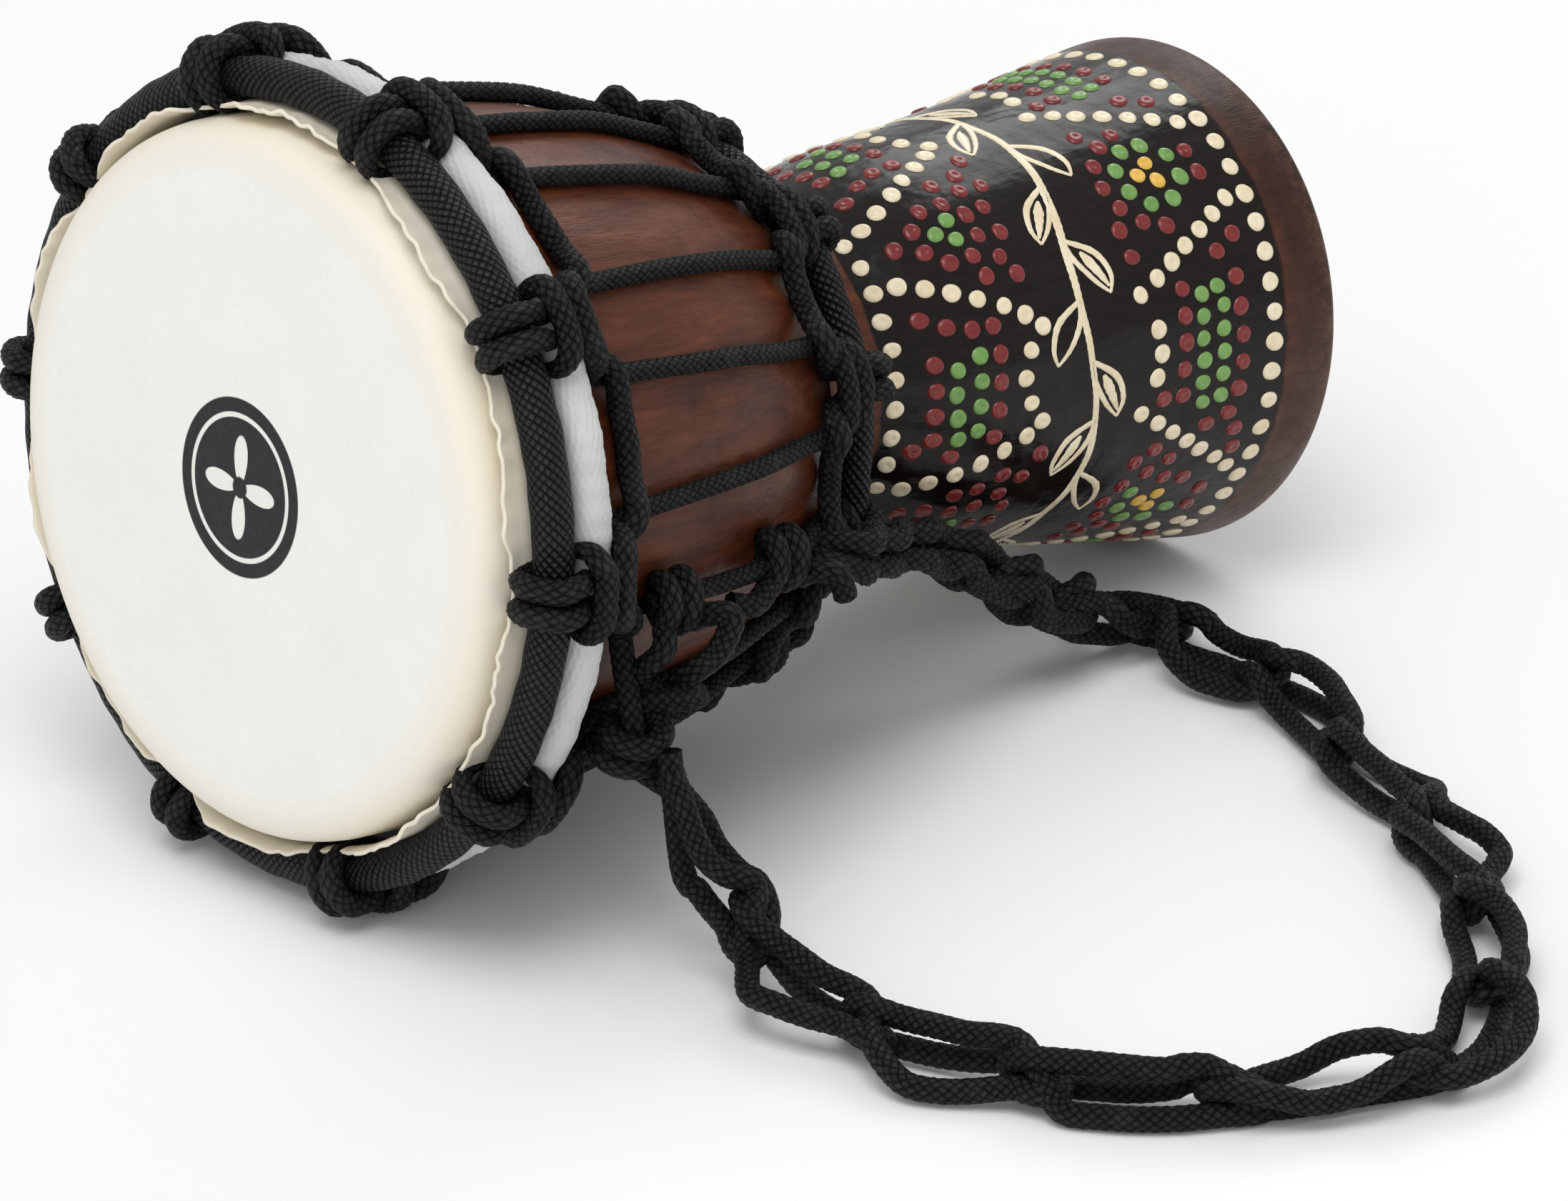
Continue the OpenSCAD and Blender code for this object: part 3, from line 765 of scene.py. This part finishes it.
def ties(rope_mat, strap_mat):
    """The lacing's tie-off and the strap's two end knots."""
    side = FIRST + TIE * PITCH
    path = on_bowl(side + LACE_TOP_A + 0.6, bowl_at(38) + TAUT_R + 2.2, 35,
                   wraps(TAUT_R, 2,
                         [[13, -2, 0.5, 1.8], [9.5, -2.6, 2.6, 1.9], [5, -1.6, 5.4, ROPE_R]],
                         [[0.5, 10, 7.4, ROPE_R], [6.5, 8.6, 7, ROPE_R], [10, 5.5, 5.5, ROPE_R],
                          [14, 3.6, 3.2, 1.9]]))
    knot("lacing_tie", path, rope_mat, "lacing_knot")
    path = on_bowl(side + PITCH / 2 - LACE_BOTTOM_A - 0.6, bowl_at(66) + TAUT_R + 2.2, 62,
                   wraps(TAUT_R, 2, [[3.4, -9.5, 4.2, ROPE_R], [4, -5, 5.2, ROPE_R]],
                         [[1, 10.5, 6.6, ROPE_R], [5, 12.5, 7.6, ROPE_R]]))
    foot = knot("strap_foot_tie", path, strap_mat, "strap_foot_knot")
    coil = []
    for a in range(-60, 601, 30):
        c, d = math.cos(math.radians(a)), math.sin(math.radians(a))
        coil.append([(a - 270) / 360 * WRAP_PITCH + 1.5, 4.1 * c, 4.1 * d, ROPE_R])
    coil = [[-9, 7.5, 3.5, 1.9], [-6.5, 6, 1.5, ROPE_R]] + coil + [[7.5, 5.5, 6.5, ROPE_R]]
    path = on_bowl(side + PITCH / 2 + 6, CROWN_R + 3.6, 30.4, coil)
    head = knot("strap_head_tie", path, strap_mat, "strap_head_knot")
    return foot, head


# ---- ropes on the drum
def both_halves(half, middle):
    return half + middle + [[-q[0], *q[1:]] for q in reversed(half)]


def ring_path(points, r, angle, u, side):
    out = []
    for q in points:
        out.append([*around(r + q[1], angle + math.degrees(q[0] / r), u + side * q[2]), q[3]])
    return out


def to_world4(points):
    p = np.array(points, float)
    return np.hstack([to_world(p[:, :3]), p[:, 3:4]])


def cradle(name, hitch, r, first, u, side, mat):
    path = []
    for i in range(HITCHES):
        shape = [[q[0] + 0.25 * wave(i, j % 5), q[1], q[2] + 0.2 * wave(i, j % 7), q[3]]
                 for j, q in enumerate(hitch)]
        if side > 0 and i == TIE + 1:
            shape = PULLED + shape[2:]
        path += ring_path(shape, r, first + i * PITCH, u, side)[:-1]
    obj, _, _ = rope(name, to_world4(path), closed=True)
    obj.data.materials.append(mat)
    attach(obj, "root")
    return obj


def lace_run(a, b, lift=(0, 0, 0, 0)):
    out = []
    for i, u in enumerate(LACE_U):
        f = i / (len(LACE_U) - 1)
        out.append([*around(bowl_at(u) + TAUT_R + 0.2 + lift[i], a + (b - a) * f, u), TAUT_R])
    return out


def lacing(mat):
    top = both_halves(TOP_BIGHT, TOP_BIGHT_MIDDLE)
    bottom = both_halves(BOTTOM_BIGHT, BOTTOM_BIGHT_MIDDLE)
    path = []
    for i in range(HITCHES):
        a = FIRST + (i + TIE) * PITCH
        b = a + PITCH / 2
        c = a + PITCH
        lift = KNOT_LIFT if i == 0 else (0, 0, 0, 0)
        path += lace_run(a + LACE_TOP_A, b - LACE_BOTTOM_A, lift)
        path += ring_path(bottom, BOTTOM_R, b, BOTTOM_U, -1)
        path += lace_run(c - LACE_TOP_A, b + LACE_BOTTOM_A)[::-1]
        path += ring_path(top, CROWN_R, c, CROWN_U, 1)
    obj, _, _ = rope("lacing", to_world4(path))
    obj.data.materials.append(mat)
    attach(obj, "root")
    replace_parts(obj, "lacing_rope")


def tape(name, ring_r, d, u, mat, cells):
    """The tape sleeve of a ring: a closed tube with a fine weave and soft wrinkles."""
    sides, count = 40, 560
    theta = np.arange(sides) * 2 * np.pi / sides
    ang = np.arange(count) * 2 * np.pi / count
    th, an = np.meshgrid(theta, ang, indexing="xy")
    wrinkle = 0.05 * np.sin(37 * an + 2 * th) + 0.05 * np.sin(61 * an - th)
    near = np.abs((np.degrees(an) - FIRST + PITCH / 2) % PITCH - PITCH / 2) * np.pi / 180
    pinch = np.exp(-(near * ring_r / 4.5) ** 2)
    rad = d / 2 + wrinkle - 0.25 * pinch
    r = ring_r + rad * np.cos(th)
    local = np.stack([r * np.cos(an), r * np.sin(an), u + rad * np.sin(th)], axis=-1)
    quads = grid_faces(count, sides, True, True)
    obj = new_mesh(name, to_world(local.reshape(-1, 3)), quads.tolist())
    uv = grid_uv(quads, count, sides, lambda j: j / sides * cells,
                 lambda i: i / count * round(2 * math.pi * ring_r / 1.5))
    add_uv(obj, "weave", uv.reshape(-1, 2))
    obj.data.materials.append(mat)
    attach(obj, "root")
    return obj


# ---- shell
OUTER_FINE = catmull(OUTER, 6)


def carving(angle, u):
    """How far the carved surface stands off the turned profile."""
    deep = np.clip((u - 8) / 20, 0, 1) * np.clip((196 - u) / 10, 0, 1)
    return 0.7 * deep * (0.16 * np.sin(9 * angle + 0.02 * u)
                         + 0.1 * np.sin(23 * angle + 1.3 + 0.05 * u))


def surface_r(degrees, u):
    return (np.interp(u, OUTER_FINE[:, 1], OUTER_FINE[:, 0])
            + carving(np.radians(degrees), u))


def shell(mat):
    profile = np.vstack([OUTER_FINE, catmull(INNER, 4)])

    def carve(r, a, u, row):
        return r + carving(a, u), a, u

    obj = lathe("shell_carved", profile, 288, carve)
    obj.data.materials.append(mat)
    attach(obj, "root")
    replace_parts(obj, "shell")


# ---- paint on the foot
# The ornament is one figure, repeated evenly round the foot on both sides of a plain strip.
REPEATS = 4
FIRST_FIGURE = 38.0
# The sides of the strip: u of the border, u of the strip's edge, and if round hearts are yellow.
ORNAMENT_SIDES = [[184.4, 160.4, True], [117.2, 141.6, False]]
# In a figure: degrees from its middle, and the share of the way from border to strip.
OUTLINE = [[11, 0.0], [21, 0.5], [31, 1.0], [38, 0.84], [45, 0.8]]
ROUND_HEART = [[0, 0.5], [0, 0.5]]
LONG_HEART = [[33, 0.35], [57, 0.35]]
STRIP_HALF = 9.4
STEM_U = 151
LEAVES = 22
# Each border row: how many dots, their u, their radius and the room each one needs.
BORDER_ROWS = [[51, 188.4, 1.66, 3.6], [37, 113.2, 1.5, 3.4]]
# The rings of a cluster stay between these u.
CLUSTER_U = [116.9, 184.8]


def flat_distance(a, b):
    """Distance over the foot's surface between two (angle, u) places."""
    turn = (a[0] - b[0] + 180) % 360 - 180
    return math.hypot(math.radians(turn) * surface_r(a[0], (a[1] + b[1]) / 2), a[1] - b[1])


def walk(line, gap):
    """Places a gap apart along a line of (angle, u)."""
    p = np.array(line, float)
    scale = math.radians(1) * float(surface_r(0, p[:, 1].mean()))
    flat = np.column_stack([p[:, 0] * scale, p[:, 1]])
    seg = np.concatenate([[0], np.cumsum(np.linalg.norm(np.diff(flat, axis=0), axis=1))])
    n = max(int(round(seg[-1] / gap)), 1)
    t = np.linspace(0, seg[-1], n + 1)
    return np.column_stack([np.interp(t, seg, p[:, 0]), np.interp(t, seg, p[:, 1])])


def loop_round(start, end, offset, gap):
    """Places round a cluster's heart line, an offset away from it."""
    scale = math.radians(1) * float(surface_r(0, (start[1] + end[1]) / 2))
    a = np.array([start[0] * scale, start[1]])
    b = np.array([end[0] * scale, end[1]])
    along = b - a
    span = float(np.linalg.norm(along))
    along = along / span if span > 0.1 else np.array([1.0, 0.0])
    across = np.array([-along[1], along[0]])
    total = 2 * span + 2 * math.pi * offset
    n = max(int(round(total / gap)), 3)
    out = []
    for k in range(n):
        d = (k + 0.5) / n * total
        if d < span:
            q = a + along * d + across * offset
        elif d < span + math.pi * offset:
            f = (d - span) / offset
            q = b + offset * (along * math.sin(f) + across * math.cos(f))
        elif d < 2 * span + math.pi * offset:
            q = b - along * (d - span - math.pi * offset) - across * offset
        else:
            f = (d - 2 * span - math.pi * offset) / offset
            q = a - offset * (along * math.sin(f) + across * math.cos(f))
        out.append([q[0] / scale, q[1]])
    return out


def stem_u(degrees):
    """The stem's gently waving middle line."""
    return STEM_U + 1.6 * math.sin(math.radians(4 * degrees + 20))


def figures():
    """Each figure of the ornament: middle angle, border u, strip u, and if it is yellow."""
    step = 360 / REPEATS
    return [[FIRST_FIGURE + k * step, border, strip, yellow]
            for border, strip, yellow in ORNAMENT_SIDES for k in range(REPEATS)]


def place_in(figure, degrees, share):
    """A place in a figure as (angle, u) on the foot."""
    middle, border, strip, _ = figure
    return [middle + degrees, border + share * (strip - border)]


def outlines():
    """The zigzag outline of every figure, as lines of (angle, u)."""
    return [[place_in(figure, mirror * a, share) for a, share in OUTLINE]
            for figure in figures() for mirror in (1, -1)]


def dot_plan():
    """Every dot as (angle, u, radius), by colour, none of them touching."""
    plan = {"cream": [], "red": [], "green": [], "yellow": []}
    taken = []

    def add(color, place, size, clear):
        where = [place[0], place[1]]
        if any(abs(q[1] - where[1]) < clear and flat_distance(q, where) < clear
               for q in taken):
            return
        k = len(taken)
        taken.append(where)
        plan[color].append([where[0] + 0.5 * wave(k, 1), where[1] + 0.25 * wave(k, 2),
                            size * (1 + 0.07 * wave(k, 3))])

    for count, u, size, clear in BORDER_ROWS:
        for k in range(count):
            add("cream", [k * 360 / count, u], size, clear)
    lines = outlines()
    for line in lines:
        for place in walk(line, 4.4):
            add("cream", place, 1.58, 3.6)
    for figure in figures():
        for heart, yellow in ((ROUND_HEART, figure[3]), (LONG_HEART, False)):
            cluster(add, lines, figure, heart, yellow)
    return plan


def cluster(add, lines, figure, heart, yellow):
    """Dots in rings round a heart line, kept off the outlines and the strip."""
    a, b = [place_in(figure, *place) for place in heart]
    for q in loop_round(a, b, 2.1, 4.0):
        add("yellow" if yellow else "green", q, 1.45, 3.3)
    for offset in (5.9, 9.8, 13.6, 17.4):
        color = "green" if yellow and offset < 6 else "red"
        for q in loop_round(a, b, offset, 4.6):
            on_band = CLUSTER_U[0] < q[1] < CLUSTER_U[1] and abs(q[1] - stem_u(q[0])) > STRIP_HALF
            if on_band and not any(crosses(q, line) for line in lines):
                add(color, q, 1.55, 3.75)


def crosses(place, line):
    """True if a place is nearly on an outline."""
    return any(flat_distance(q, place) < 3.4 for q in walk(line, 2.0))


def dots(name, places, mat):
    """Domes of thick paint, each with the small dimple the brush leaves."""
    sides = 18
    ring = np.arange(sides) * 2 * np.pi / sides
    shape = [(0.0, 0.30), (0.16, 0.31), (0.34, 0.42), (0.6, 0.44), (0.82, 0.33), (0.96, 0.14),
             (1.02, -0.12)]
    verts, faces = [], []
    for k, (angle, u, size) in enumerate(places):
        first = len(verts)
        squash = 1 + 0.08 * wave(k, 4)
        for share, height in shape[1:]:
            wob = 1 + 0.035 * np.sin(2 * ring + k) + 0.02 * np.sin(3 * ring + 2 * k)
            du = size * share * np.cos(ring) * squash * wob
            dx = size * share * np.sin(ring) / squash * wob
            uu = u + du
            r = surface_r(angle, uu)
            aa = np.radians(angle) + dx / r
            r = surface_r(np.degrees(aa), uu) + height
            verts += np.stack([r * np.cos(aa), r * np.sin(aa), uu], axis=-1).tolist()
        r0 = float(surface_r(angle, u)) + shape[0][1]
        verts.append(around(r0, angle, u))
        last = len(verts) - 1
        rows = len(shape) - 1
        for j in range(sides):
            j2 = (j + 1) % sides
            faces.append([last, first + j, first + j2])
            for i in range(rows - 1):
                a, b = first + i * sides, first + (i + 1) * sides
                faces.append([a + j, b + j, b + j2, a + j2])
    obj = new_mesh(name, to_world(verts), faces)
    obj.data.materials.append(mat)
    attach(obj, "root")


def stroke(verts, faces, line, widths):
    """Adds one brush stroke, a low ridge along a line of (angle, u)."""
    p = catmull(line, 8)
    w = np.interp(np.linspace(0, 1, len(p)), np.linspace(0, 1, len(widths)), widths)
    scale = math.radians(1) * float(surface_r(0, p[:, 1].mean()))
    flat = np.column_stack([p[:, 0] * scale, p[:, 1]])
    t = unit(np.gradient(flat, axis=0))
    side = np.column_stack([-t[:, 1], t[:, 0]])
    across = [(-1.0, -0.08), (-0.8, 0.09), (-0.3, 0.13), (0.3, 0.13), (0.8, 0.09), (1.0, -0.08)]
    first = len(verts)
    for k in range(len(p)):
        ragged = 1 + 0.10 * wave(k + len(verts), 1)
        for share, height in across:
            q = flat[k] + side[k] * share * w[k] / 2 * ragged
            angle, u = q[0] / scale, q[1]
            verts.append(around(float(surface_r(angle, u)) + height, angle, u))
    m = len(across)
    for k in range(len(p) - 1):
        for j in range(m - 1):
            a = first + k * m + j
            faces.append([a, a + 1, a + m + 1, a + m])


def leaf(verts, faces, at, reach, lean, filled):
    """A pointed leaf from a place on the stem; lean is its height towards the foot."""
    tip = [at[0] + reach, at[1] + lean]
    bow = 2.5 if lean > 0 else -2.5
    upper = [at, [at[0] + reach * 0.3, at[1] + lean * 0.55 + bow * 0.7],
             [at[0] + reach * 0.7, at[1] + lean * 0.95 + bow * 0.45], tip]
    lower = [at, [at[0] + reach * 0.35, at[1] + lean * 0.12],
             [at[0] + reach * 0.75, at[1] + lean * 0.55], tip]
    stroke(verts, faces, upper, [0.9, 1.4, 1.1, 0.45])
    stroke(verts, faces, lower, [0.9, 1.2, 1.0, 0.45])
    if filled:
        middle = [[at[0] + reach * 0.25, at[1] + lean * 0.4],
                  [at[0] + reach * 0.55, at[1] + lean * 0.68], [tip[0] - reach * 0.1, tip[1]]]
        stroke(verts, faces, middle, [0.5, 2.2, 1.6, 0.35])


def motif(mat):
    """A plain leafy stem, brushed all the way round the strip."""
    verts, faces = [], []
    stem = [[a, stem_u(a)] for a in range(0, 361, 6)]
    stroke(verts, faces, stem, [1.5, 1.8, 1.3, 1.7, 1.4, 1.8, 1.3, 1.7, 1.5])
    for k in range(LEAVES):
        a = k * 360 / LEAVES
        sign = 1 if k % 2 else -1
        leaf(verts, faces, [a, stem_u(a)], 16, sign * 6.0, k % 3 != 1)
    obj = new_mesh("leaf_motif", to_world(verts), faces)
    obj.data.materials.append(mat)
    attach(obj, "root")


def paintwork():
    cream = dot_material("paint_cream", (0.74, 0.62, 0.40), (0.86, 0.77, 0.58))
    colors = {"cream": cream,
              "red": dot_material("paint_red", (0.155, 0.010, 0.010), (0.215, 0.022, 0.020)),
              "green": dot_material("paint_green", (0.13, 0.28, 0.062), (0.19, 0.36, 0.095)),
              "yellow": dot_material("paint_yellow", (0.72, 0.40, 0.05), (0.80, 0.50, 0.10))}
    for color, places in dot_plan().items():
        dots("dots_" + color, places, colors[color])
    motif(cream)


# ---- skin
def skin_profile():
    """Middle line of the skin, [radius, u], from the head's centre to the trimmed lip."""
    face = [[0.01, FACE_U]] + [[r, FACE_U] for r in range(8, 49, 8)]
    skirt = [[51, 0.45], [53, 0.65], [54.4, 1.1], [55.5, 1.9], [56.4, 3.4], [56.9, 6],
             [57, 9], [57.1, 13], [57.4, 17.5], [58.5, 20]]
    face += skirt
    wrap_r = (FLESH_D + SKIN_T) / 2 + 0.1
    wrap = [[FLESH_R + wrap_r * math.cos(math.radians(a)),
             FLESH_U + wrap_r * math.sin(math.radians(a))] for a in range(115, -126, -12)]
    lip = [[59.6, 14.4], [59.2, 12.5], [58.95, 10], [58.75, 8], [58.6, 6.4], [58.7, 4.9],
           [58.9, 3.6]]
    return catmull(face + wrap + lip, 3), len(catmull(face, 3)), len(catmull(face + wrap, 3))


def close_pole(obj, count):
    """Merges the first ring of a lathe into one point."""
    bm = bmesh.new()
    bm.from_mesh(obj.data)
    bm.verts.ensure_lookup_table()
    bmesh.ops.pointmerge(bm, verts=bm.verts[:count], merge_co=to_world([[0, 0, FACE_U]])[0] * MM)
    bm.to_mesh(obj.data)
    bm.free()


def skin(mat):
    line, start_wrap, start_lip = skin_profile()
    total = len(line)
    count = 720

    def shape(r, a, u, row):
        deg = np.degrees(a)
        hitch = np.abs((deg - FIRST + PITCH / 2) % PITCH - PITCH / 2)
        tied = np.exp(-(hitch / 7.0) ** 4)
        up = np.clip((row - start_lip) / (total - start_lip), 0, 1)
        ruffle = (np.sin(23 * a + 0.6) + 0.6 * np.sin(41 * a + 1.1) + 0.35 * np.sin(67 * a))
        some = 0.55 + 0.45 * np.sin(3 * a + 0.5)
        r = r + up ** 1.5 * (0.34 * some * ruffle + 0.95) * (1 - tied)
        crinkle = np.sin(97 * a + 3 * np.sin(7 * a)) * (0.6 + 0.4 * np.sin(11 * a + 1))
        r = r + up ** 3 * 0.30 * crinkle * (1 - 0.7 * tied)
        trim = 0.6 * np.sin(7 * a + 0.4) + 0.35 * np.sin(17 * a) + 0.25 * np.sin(61 * a)
        u = u + up ** 2 * (trim + 2.2 * tied)
        fold = np.clip((row - start_wrap) / 6, 0, 1) * np.clip((start_lip - row) / 6, 0, 1)
        crease = 0.10 * np.sin(90 * a + 3 * np.sin(5 * a)) + 0.16 * np.sin(31 * a + 2)
        pucker = 0.10 * np.sin(140 * a + 4 * np.sin(9 * a)) * np.sin(1.3 * row + 4 * np.sin(11 * a))
        r = r + fold * (crease + 1.5 * pucker)
        skirt = np.clip((row - start_wrap + 14) / 8, 0, 1) * np.clip((start_wrap - row) / 3, 0, 1)
        r = r + skirt * 0.12 * np.sin(70 * a)
        return r, a, u

    obj = lathe("head_skin", line, count, shape, closed=False)
    close_pole(obj, count)
    solid = obj.modifiers.new("thickness", "SOLIDIFY")
    solid.thickness = SHEET_T * MM
    solid.offset = 0
    bpy.context.view_layer.objects.active = obj
    with bpy.context.temp_override(object=obj):
        bpy.ops.object.modifier_apply(modifier="thickness")
    obj.data.materials.append(mat)
    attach(obj, "root")
    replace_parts(obj, "drumhead")


# ---- floor and light
def stage():
    size = 6000
    obj = new_mesh("floor", [[-size, -size, 0], [size, -size, 0], [size, size, 0],
                             [-size, size, 0]], [[0, 1, 2, 3]], smooth=False)
    mat, _, shader = material("pale_floor", (0.93, 0.93, 0.93), 0.7)
    shader.inputs["Specular IOR Level"].default_value = 0.2
    obj.data.materials.append(mat)


def area(name, place, aim, size, power):
    data = bpy.data.lights.new(name, "AREA")
    data.shape = "RECTANGLE"
    data.size, data.size_y = size
    data.energy = power
    obj = bpy.data.objects.new(name, data)
    bpy.context.scene.collection.objects.link(obj)
    obj.location = place
    obj.rotation_euler = (Vector(aim) - Vector(place)).to_track_quat("-Z", "Y").to_euler()


def lights():
    world = bpy.data.worlds.new("studio")
    bpy.context.scene.world = world
    world.use_nodes = True
    back = world.node_tree.nodes["Background"]
    back.inputs[0].default_value = (1, 1, 1, 1)
    back.inputs[1].default_value = 0.62
    middle = (0.03, -0.03, 0.05)
    area("key", (-0.5, -0.4, 1.5), middle, (1.0, 1.0), 11)
    area("fill", (-1.4, -0.9, 0.6), middle, (0.9, 0.9), 3.5)
    area("rim", (0.9, 0.5, 0.9), middle, (0.6, 0.6), 3)
    bpy.context.scene.view_settings.view_transform = "Standard"


# ---- build
camera()
rope_mat = braid_material("rope_braid", 0.42, 0.35)
strap_mat = braid_material("strap_braid", 0.44, 0.30)
chain, chain_centres, chain_length = strap(strap_mat)
foot_tie, head_tie = ties(rope_mat, strap_mat)
top = cradle("top_cradle", both_halves(TOP_HALF, TOP_MIDDLE), CROWN_R, FIRST, CROWN_U, 1,
             rope_mat)
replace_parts(top, "top_cradle_rope")
bottom = cradle("bottom_cradle", both_halves(BOTTOM_HALF, BOTTOM_MIDDLE), BOTTOM_R,
                FIRST - PITCH / 2, BOTTOM_U, -1, rope_mat)
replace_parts(bottom, "bottom_cradle_rope")
lacing(rope_mat)
tape_mat = tape_material()
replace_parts(tape("crown_sleeve", CROWN_R, CROWN_D, CROWN_U, tape_mat, 14), "crown_tape")
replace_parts(tape("bottom_sleeve", BOTTOM_R, BOTTOM_D, BOTTOM_U, tape_mat, 12), "bottom_tape")
shell(wood_material())
paintwork()
skin(skin_material())
steel = steel_material()
for name in ("flesh_ring", "crown_ring", "bottom_ring"):
    ring = frame["nodes"][name]
    ring.data.materials.clear()
    ring.data.materials.append(steel)
stage()
lights()
